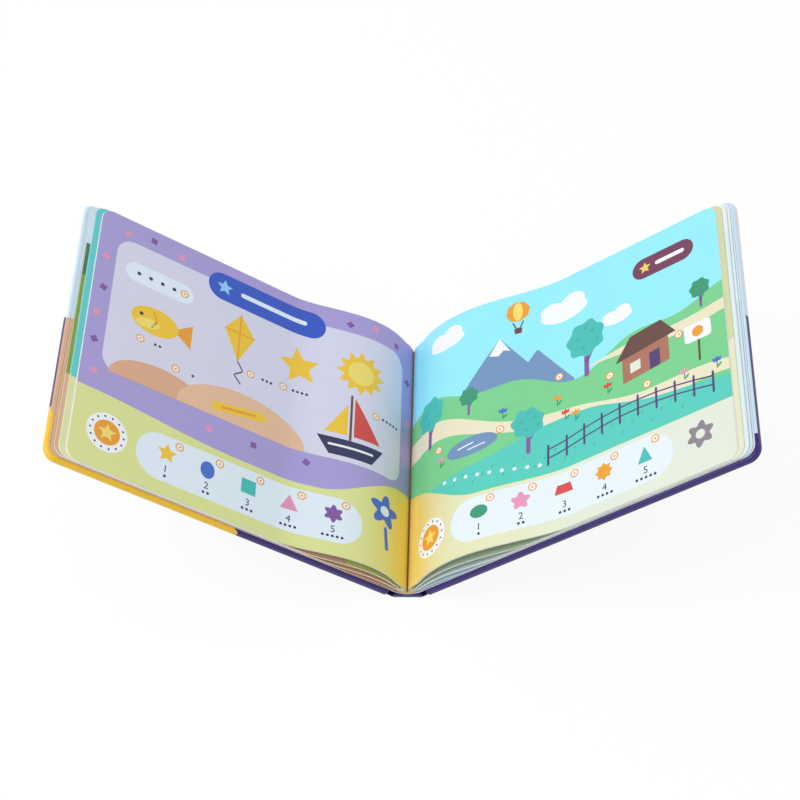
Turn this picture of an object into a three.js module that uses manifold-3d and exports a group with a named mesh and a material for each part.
// A padded hardback picture book, open near its middle in a V and standing on its spine.
// X runs across the opening, Y along the spine from tail to head, Z up from the table.
// Both covers are one shape. It is drawn for the back cover, on the +X side, and half a turn
// about Z gives the front cover. Inside a cover, x is the distance from its hinge line, y runs
// along the spine and z is the height above the hinge line, towards the pages.

import * as THREE from 'three';
import { mergeVertices } from 'three/addons/utils/BufferGeometryUtils.js';
import Module from 'manifold-3d';

const wasm = await Module();
wasm.setup();

// Case: sizes in millimetres, angles in degrees
const COVER_HEIGHT = 210;
const COVER_WIDTH = 264;
const COVER_ANGLE = 37.5;
const COVER_CORNER_RADIUS = 9;
const COVER_EDGE_ROUNDING = 1.9;
const WRAP_THICKNESS = 0.35;
const WRAP_TURN_IN = 14;
const PADDING_THICKNESS = 1.8;
const BOARD_THICKNESS = 2.2;
const SPINE_BOARD_THICKNESS = 1.8;
const JOINT_WIDTH = 7;

// How far the cover stands past pages and endpapers at head, tail and, in the closed book,
// fore edge
const PAGE_SQUARE = 2;

// Endpapers: the glued half dips into the joint
const ENDPAPER_THICKNESS = 0.3;
const PASTEDOWN_DIP_RUN = 3.4;
const PASTEDOWN_DIP_DEPTH = 2.6;

// Block of pages
const PAGE_HEIGHT = COVER_HEIGHT - 2 * PAGE_SQUARE;
const PAGE_CORNER_RADIUS = 8;
const BLOCK_THICKNESS = 6;
const LEAF_GROUPS = 3;
const LEAF_GROUP_GAP = 0.12;
const ROOT_HEIGHT = 3;
const LINING_THICKNESS = 0.3;

// The distances along the open cover between which a leaf takes up the cover's turn, for the
// top leaf on each side and for the flyleaves. One that starts further behind the gutter
// gives a lower arch. The leaves in between go by steps from one to the other.
const FRONT_BEND = { from: -60, to: 100 };
const BACK_BEND = { from: -90, to: 130 };
const FLYLEAF_BEND = { from: -120, to: 46 };

// Paper and board that touch keep this gap
const CLEARANCE = 0.3;

const ARC_STEPS = 5;
const LEAF_STEPS = 34;
const HALVINGS = 30;

// Heights above a cover's outer face, and above the table on the spine
const PANEL_THICKNESS = 2 * WRAP_THICKNESS + 3 * CLEARANCE + PADDING_THICKNESS + BOARD_THICKNESS;
const PASTEDOWN_LEVEL = PANEL_THICKNESS + CLEARANCE;
const FLYLEAF_LEVEL = PASTEDOWN_LEVEL + ENDPAPER_THICKNESS + CLEARANCE;
const BLOCK_LEVEL = FLYLEAF_LEVEL + ENDPAPER_THICKNESS + CLEARANCE;
const SPINE_THICKNESS = 2 * WRAP_THICKNESS + 2 * CLEARANCE + SPINE_BOARD_THICKNESS;
const LINING_LEVEL = SPINE_THICKNESS + CLEARANCE;
const BLOCK_BACK = LINING_LEVEL + LINING_THICKNESS + CLEARANCE;

// The hinge lines run in the middle of the wrap, as far apart as the closed book is thick
const HINGE_LEVEL = WRAP_THICKNESS / 2;
const SPINE_WIDTH = 2 * (BLOCK_LEVEL - HINGE_LEVEL) + BLOCK_THICKNESS;
const HINGE_X = SPINE_WIDTH / 2;
const OPENING_ANGLE = THREE.MathUtils.degToRad(90 - COVER_ANGLE);

function solidOf(geometry) {
  const plain = geometry.clone();
  plain.deleteAttribute('normal');
  plain.deleteAttribute('uv');
  const merged = mergeVertices(plain, 1e-4);
  const mesh = new wasm.Mesh({
    numProp: 3,
    vertProperties: Float32Array.from(merged.attributes.position.array),
    triVerts: Uint32Array.from(merged.index.array),
  });
  mesh.merge();
  return new wasm.Manifold(mesh);
}

function geometryOf(solid) {
  const mesh = solid.getMesh();
  const geometry = new THREE.BufferGeometry();
  geometry.setAttribute('position', new THREE.BufferAttribute(mesh.vertProperties, 3));
  geometry.setIndex(new THREE.BufferAttribute(mesh.triVerts, 1));
  geometry.computeVertexNormals();
  return geometry;
}

// A flat outline from one x to another, symmetric about y = 0, with both far corners rounded
function panelOutline(nearX, farX, halfHeight, radius) {
  const outline = new THREE.Shape();
  outline.moveTo(nearX, -halfHeight);
  outline.lineTo(farX - radius, -halfHeight);
  outline.absarc(farX - radius, radius - halfHeight, radius, -Math.PI / 2, 0, false);
  outline.absarc(farX - radius, halfHeight - radius, radius, 0, Math.PI / 2, false);
  outline.lineTo(nearX, halfHeight);
  return outline;
}

function plate(outline, bottom, thickness) {
  const geometry = new THREE.ExtrudeGeometry(outline, {
    depth: thickness,
    bevelEnabled: false,
    curveSegments: ARC_STEPS,
  });
  return solidOf(geometry.translate(0, 0, bottom));
}

// A box between two corners, as a cutter
function block(low, high) {
  const size = new THREE.Vector3().subVectors(high, low);
  const centre = new THREE.Vector3().addVectors(high, low).multiplyScalar(0.5);
  const geometry = new THREE.BoxGeometry(size.x, size.y, size.z);
  return solidOf(geometry.translate(centre.x, centre.y, centre.z));
}

// The soft-edged form of a cover, shrunk by inset on every side but the hinge side
function softPanel(nearX, inset) {
  const rounding = COVER_EDGE_ROUNDING - inset;
  const outline = panelOutline(
    nearX - COVER_EDGE_ROUNDING,
    COVER_WIDTH - COVER_EDGE_ROUNDING,
    COVER_HEIGHT / 2 - COVER_EDGE_ROUNDING,
    COVER_CORNER_RADIUS - COVER_EDGE_ROUNDING,
  );
  const thickness = PANEL_THICKNESS - 2 * inset;
  const geometry = new THREE.ExtrudeGeometry(outline, {
    depth: thickness - 2 * rounding,
    bevelThickness: rounding,
    bevelSize: rounding,
    bevelSegments: ARC_STEPS - 1,
    curveSegments: ARC_STEPS,
  });
  geometry.translate(0, 0, inset + rounding - HINGE_LEVEL);
  const hingeSide = block(
    new THREE.Vector3(nearX - COVER_WIDTH, -COVER_HEIGHT, -COVER_HEIGHT),
    new THREE.Vector3(nearX, COVER_HEIGHT, COVER_HEIGHT),
  );
  return solidOf(geometry).subtract(hingeSide);
}

// The wrap of one cover: a skin round padding and board, open where it is turned in
// over the board, and a bare strip that crosses the joint to the hinge line
function coverWrap() {
  const window = plate(
    panelOutline(
      0,
      COVER_WIDTH - WRAP_TURN_IN,
      COVER_HEIGHT / 2 - WRAP_TURN_IN,
      COVER_EDGE_ROUNDING,
    ),
    PANEL_THICKNESS - WRAP_THICKNESS - HINGE_LEVEL - CLEARANCE,
    WRAP_THICKNESS + 2 * CLEARANCE,
  );
  const jointStrip = block(
    new THREE.Vector3(CLEARANCE, COVER_EDGE_ROUNDING - COVER_HEIGHT / 2, -HINGE_LEVEL),
    new THREE.Vector3(
      JOINT_WIDTH + CLEARANCE,
      COVER_HEIGHT / 2 - COVER_EDGE_ROUNDING,
      WRAP_THICKNESS - HINGE_LEVEL,
    ),
  );
  return softPanel(JOINT_WIDTH, 0)
    .subtract(softPanel(JOINT_WIDTH - COVER_EDGE_ROUNDING, WRAP_THICKNESS))
    .subtract(window)
    .add(jointStrip);
}

// What fills the wrap, between two heights above the cover's outer face
function coverCore(bottom, top) {
  const slice = block(
    new THREE.Vector3(0, -COVER_HEIGHT, bottom - HINGE_LEVEL),
    new THREE.Vector3(2 * COVER_WIDTH, COVER_HEIGHT, top - HINGE_LEVEL),
  );
  return softPanel(JOINT_WIDTH + CLEARANCE, WRAP_THICKNESS + CLEARANCE).intersect(slice);
}

const PADDING_LEVEL = WRAP_THICKNESS + CLEARANCE;
const BOARD_LEVEL = PADDING_LEVEL + PADDING_THICKNESS + CLEARANCE;

function padding() {
  return coverCore(PADDING_LEVEL, PADDING_LEVEL + PADDING_THICKNESS);
}

function board() {
  return coverCore(BOARD_LEVEL, BOARD_LEVEL + BOARD_THICKNESS);
}

// The glued half of an endpaper: flat on the board, with a smooth dip into the joint.
// It is drawn as a band in side view, carried along the spine and trimmed to its outline.
function pastedown() {
  const bottom = PASTEDOWN_LEVEL - HINGE_LEVEL;
  const dipEnd = JOINT_WIDTH - CLEARANCE;
  const pastedownEnd = COVER_WIDTH - PAGE_SQUARE;
  const upper = [];
  const lower = [];
  for (let i = 0; i <= ARC_STEPS * 2; i += 1) {
    const share = i / (ARC_STEPS * 2);
    const x = THREE.MathUtils.lerp(dipEnd - PASTEDOWN_DIP_RUN, dipEnd, share);
    const drop = PASTEDOWN_DIP_DEPTH * (1 - THREE.MathUtils.smoothstep(share, 0, 1));
    lower.push(new THREE.Vector2(x, bottom - drop));
    upper.push(new THREE.Vector2(x, bottom - drop + ENDPAPER_THICKNESS));
  }
  lower.push(new THREE.Vector2(pastedownEnd, bottom));
  upper.push(new THREE.Vector2(pastedownEnd, bottom + ENDPAPER_THICKNESS));
  const band = new THREE.Shape([...lower, ...upper.reverse()]);
  const sheet = new THREE.ExtrudeGeometry(band, { depth: PAGE_HEIGHT, bevelEnabled: false });
  sheet.rotateX(Math.PI / 2).translate(0, PAGE_HEIGHT / 2, 0);
  const outline = panelOutline(
    0,
    pastedownEnd,
    PAGE_HEIGHT / 2,
    PAGE_CORNER_RADIUS,
  );
  return solidOf(sheet).intersect(plate(outline, 0, 2 * PANEL_THICKNESS));
}

// The wrap of the spine: a flat skin, turned in over the board at head and tail
function spineWrap() {
  const halfWidth = HINGE_X - CLEARANCE;
  const halfHeight = COVER_HEIGHT / 2 - COVER_EDGE_ROUNDING;
  const outer = block(
    new THREE.Vector3(-halfWidth, -halfHeight, 0),
    new THREE.Vector3(halfWidth, halfHeight, SPINE_THICKNESS),
  );
  const room = block(
    new THREE.Vector3(-HINGE_X, WRAP_THICKNESS - halfHeight, WRAP_THICKNESS),
    new THREE.Vector3(HINGE_X, halfHeight - WRAP_THICKNESS, SPINE_THICKNESS - WRAP_THICKNESS),
  );
  const window = block(
    new THREE.Vector3(-HINGE_X, WRAP_TURN_IN - halfHeight, WRAP_THICKNESS),
    new THREE.Vector3(HINGE_X, halfHeight - WRAP_TURN_IN, 2 * SPINE_THICKNESS),
  );
  return outer.subtract(room).subtract(window);
}

function spineBoard() {
  const halfWidth = HINGE_X - 2 * CLEARANCE;
  const halfHeight = COVER_HEIGHT / 2 - COVER_EDGE_ROUNDING - WRAP_THICKNESS - CLEARANCE;
  const bottom = WRAP_THICKNESS + CLEARANCE;
  return block(
    new THREE.Vector3(-halfWidth, -halfHeight, bottom),
    new THREE.Vector3(halfWidth, halfHeight, bottom + SPINE_BOARD_THICKNESS),
  );
}

function spineLining() {
  return block(
    new THREE.Vector3(-BLOCK_THICKNESS / 2, -PAGE_HEIGHT / 2, LINING_LEVEL),
    new THREE.Vector3(BLOCK_THICKNESS / 2, PAGE_HEIGHT / 2, LINING_LEVEL + LINING_THICKNESS),
  );
}

// A leaf in side view. In the closed book it is a straight line that stands `depth` from the
// hinge line. In the open one each of its points has lagged behind the cover's turn about the
// hinge line, most of all deep in the back of the block and not at all where the leaf lies flat.
class LeafCurve extends THREE.Curve {
  constructor(depth, bend, start) {
    super();
    this.depth = depth;
    this.bend = bend;
    this.start = start;
    this.arcLengthDivisions = 600;
  }

  // Where a point comes to, along and above the cover, with this share of the turn taken up
  placeOnCover(distance, share) {
    const lag = (1 - share) * OPENING_ANGLE;
    return {
      along: distance * Math.cos(lag) - this.depth * Math.sin(lag),
      above: this.depth * Math.cos(lag) + distance * Math.sin(lag),
    };
  }

  // The share that agrees with the place it leads to, found by halving
  shareAt(distance) {
    const { from, to } = this.bend;
    let low = 0;
    let high = 1;
    for (let i = 0; i < HALVINGS; i += 1) {
      const middle = (low + high) / 2;
      const { along } = this.placeOnCover(distance, middle);
      if (THREE.MathUtils.smoothstep(along, from, to) > middle) {
        low = middle;
      } else {
        high = middle;
      }
    }
    return (low + high) / 2;
  }

  getPoint(t, target = new THREE.Vector3()) {
    const distance = THREE.MathUtils.lerp(this.start, COVER_WIDTH, t);
    const { along, above } = this.placeOnCover(distance, this.shareAt(distance));
    const tilt = THREE.MathUtils.degToRad(COVER_ANGLE);
    return target.set(
      HINGE_X + along * Math.cos(tilt) - above * Math.sin(tilt),
      0,
      HINGE_LEVEL + along * Math.sin(tilt) + above * Math.cos(tilt),
    );
  }
}

// Distances along a leaf at which it is drawn: even over its length, then closer together
// round the corner, each with the half height of the leaf there
function leafStations(length) {
  const stations = [];
  const straight = length - PAGE_CORNER_RADIUS;
  for (let i = 0; i < LEAF_STEPS; i += 1) {
    stations.push({ along: (straight * i) / LEAF_STEPS, half: PAGE_HEIGHT / 2 });
  }
  for (let i = 0; i <= ARC_STEPS; i += 1) {
    const turn = (Math.PI / 2) * (i / ARC_STEPS);
    stations.push({
      along: straight + PAGE_CORNER_RADIUS * Math.sin(turn),
      half: PAGE_HEIGHT / 2 - PAGE_CORNER_RADIUS * (1 - Math.cos(turn)),
    });
  }
  return stations;
}

// A group of leaves, or one flyleaf, between two depths. Its under and upper sides are equally
// long, so its fore edge slants as in a real open book.
function leafGeometry(underDepth, upperDepth, bend, start, length) {
  const positions = [];
  const under = new LeafCurve(underDepth, bend, start);
  const upper = new LeafCurve(upperDepth, bend, start);
  const stations = leafStations(length);
  for (const { along, half } of stations) {
    const low = under.getPointAt(along / under.getLength());
    const high = upper.getPointAt(along / upper.getLength());
    positions.push(low.x, -half, low.z, low.x, half, low.z);
    positions.push(high.x, half, high.z, high.x, -half, high.z);
  }
  const index = [];
  const corners = 4;
  for (let i = 0; i < stations.length - 1; i += 1) {
    for (let side = 0; side < corners; side += 1) {
      const a = corners * i + side;
      const b = corners * i + ((side + 1) % corners);
      index.push(a, b, b + corners, a, b + corners, a + corners);
    }
  }
  const last = corners * (stations.length - 1);
  index.push(0, 3, 2, 0, 2, 1);
  index.push(last, last + 1, last + 2, last, last + 2, last + 3);
  const geometry = new THREE.BufferGeometry();
  geometry.setAttribute('position', new THREE.Float32BufferAttribute(positions, 3));
  geometry.setIndex(index);
  return geometry;
}

const CLOSED_BACK = BLOCK_BACK - HINGE_LEVEL;
const BLOCK_DEPTH = BLOCK_LEVEL - HINGE_LEVEL;
const PAGE_WIDTH = COVER_WIDTH - PAGE_SQUARE - CLOSED_BACK;

function lowerBend(bend, count) {
  const share = count / LEAF_GROUPS;
  return {
    from: THREE.MathUtils.lerp(bend.from, FLYLEAF_BEND.from, share),
    to: THREE.MathUtils.lerp(bend.to, FLYLEAF_BEND.to, share),
  };
}

// The leaves on the back cover's side, from the gutter out, as solids that share their root
function leafGroups(bend) {
  const groups = [];
  const halfBlock = BLOCK_THICKNESS / 2;
  const pitch = (halfBlock + LEAF_GROUP_GAP) / LEAF_GROUPS;
  for (let count = 0; count < LEAF_GROUPS; count += 1) {
    const upperDepth = BLOCK_DEPTH + halfBlock - count * pitch;
    groups.push(leafGeometry(
      upperDepth - pitch + LEAF_GROUP_GAP,
      upperDepth,
      lowerBend(bend, count),
      CLOSED_BACK + ROOT_HEIGHT / 2,
      PAGE_WIDTH - ROOT_HEIGHT / 2,
    ));
  }
  return groups;
}

// Where the sides of the block's root reach the foot of the outermost and innermost leaves
function rootCorners(bend) {
  const height = CLOSED_BACK + ROOT_HEIGHT;
  const outermost = new LeafCurve(BLOCK_DEPTH, lowerBend(bend, LEAF_GROUPS - 1), height);
  const innermost = new LeafCurve(BLOCK_DEPTH + BLOCK_THICKNESS / 2, bend, height);
  return [outermost.getPoint(0), innermost.getPoint(0)];
}

// All the pages: a glued root along the spine, with leaves that fan out to both covers
function textBlock() {
  const back = rootCorners(BACK_BEND);
  const front = rootCorners(FRONT_BEND);
  const root = new THREE.Shape([
    new THREE.Vector2(-BLOCK_THICKNESS / 2, BLOCK_BACK),
    new THREE.Vector2(BLOCK_THICKNESS / 2, BLOCK_BACK),
    new THREE.Vector2(back[0].x, back[0].z),
    new THREE.Vector2(back[1].x, back[1].z),
    new THREE.Vector2(-front[1].x, front[1].z),
    new THREE.Vector2(-front[0].x, front[0].z),
  ]);
  const rootGeometry = new THREE.ExtrudeGeometry(root, {
    depth: PAGE_HEIGHT,
    bevelEnabled: false,
  });
  rootGeometry.rotateX(Math.PI / 2).translate(0, PAGE_HEIGHT / 2, 0);
  let pages = solidOf(rootGeometry);
  for (const geometry of leafGroups(BACK_BEND)) {
    pages = pages.add(solidOf(geometry));
  }
  for (const geometry of leafGroups(FRONT_BEND)) {
    pages = pages.add(solidOf(geometry.rotateZ(Math.PI)));
  }
  return pages;
}

function flyleaf() {
  const underDepth = FLYLEAF_LEVEL - HINGE_LEVEL;
  return leafGeometry(
    underDepth,
    underDepth + ENDPAPER_THICKNESS,
    FLYLEAF_BEND,
    CLOSED_BACK,
    PAGE_WIDTH,
  );
}

function paper(color, roughness) {
  return new THREE.MeshStandardMaterial({ color, roughness, metalness: 0 });
}

const materials = {
  frontWrap: paper(0xe6b422, 0.42),
  spineWrap: paper(0x4a2a8c, 0.42),
  backWrap: paper(0x4a2a8c, 0.42),
  padding: paper(0xf2efe6, 0.95),
  board: paper(0xa59c8c, 0.9),
  lining: paper(0xd8c8a4, 0.9),
  pages: paper(0xe9edf2, 0.5),
  frontEndpaper: paper(0xd79a68, 0.55),
  backEndpaper: paper(0xb9dcee, 0.55),
};

function piece(name, geometry, material) {
  const mesh = new THREE.Mesh(geometry, material);
  mesh.name = name;
  return mesh;
}

// One cover, raised about its hinge line. `turn` is 0 for the back cover, half a turn for the front.
function cover(side, turn, wrapMaterial, endpaperMaterial) {
  const panel = new THREE.Group();
  panel.add(
    piece(`${side}_wrap`, geometryOf(coverWrap()), wrapMaterial),
    piece(`${side}_padding`, geometryOf(padding()), materials.padding),
    piece(`${side}_board`, geometryOf(board()), materials.board),
    piece(`${side}_pastedown`, geometryOf(pastedown()), endpaperMaterial),
  );
  panel.position.set(HINGE_X, 0, HINGE_LEVEL);
  panel.rotation.y = -THREE.MathUtils.degToRad(COVER_ANGLE);
  const half = new THREE.Group();
  half.add(panel, piece(`${side}_flyleaf`, flyleaf(), endpaperMaterial));
  half.rotation.z = turn;
  return half;
}

const book = new THREE.Group();
book.name = 'picture_book';
book.add(
  cover('front', Math.PI, materials.frontWrap, materials.frontEndpaper),
  cover('back', 0, materials.backWrap, materials.backEndpaper),
  piece('spine_wrap', geometryOf(spineWrap()), materials.spineWrap),
  piece('spine_board', geometryOf(spineBoard()), materials.board),
  piece('spine_lining', geometryOf(spineLining()), materials.lining),
  piece('text_block', geometryOf(textBlock()), materials.pages),
);

export default book;
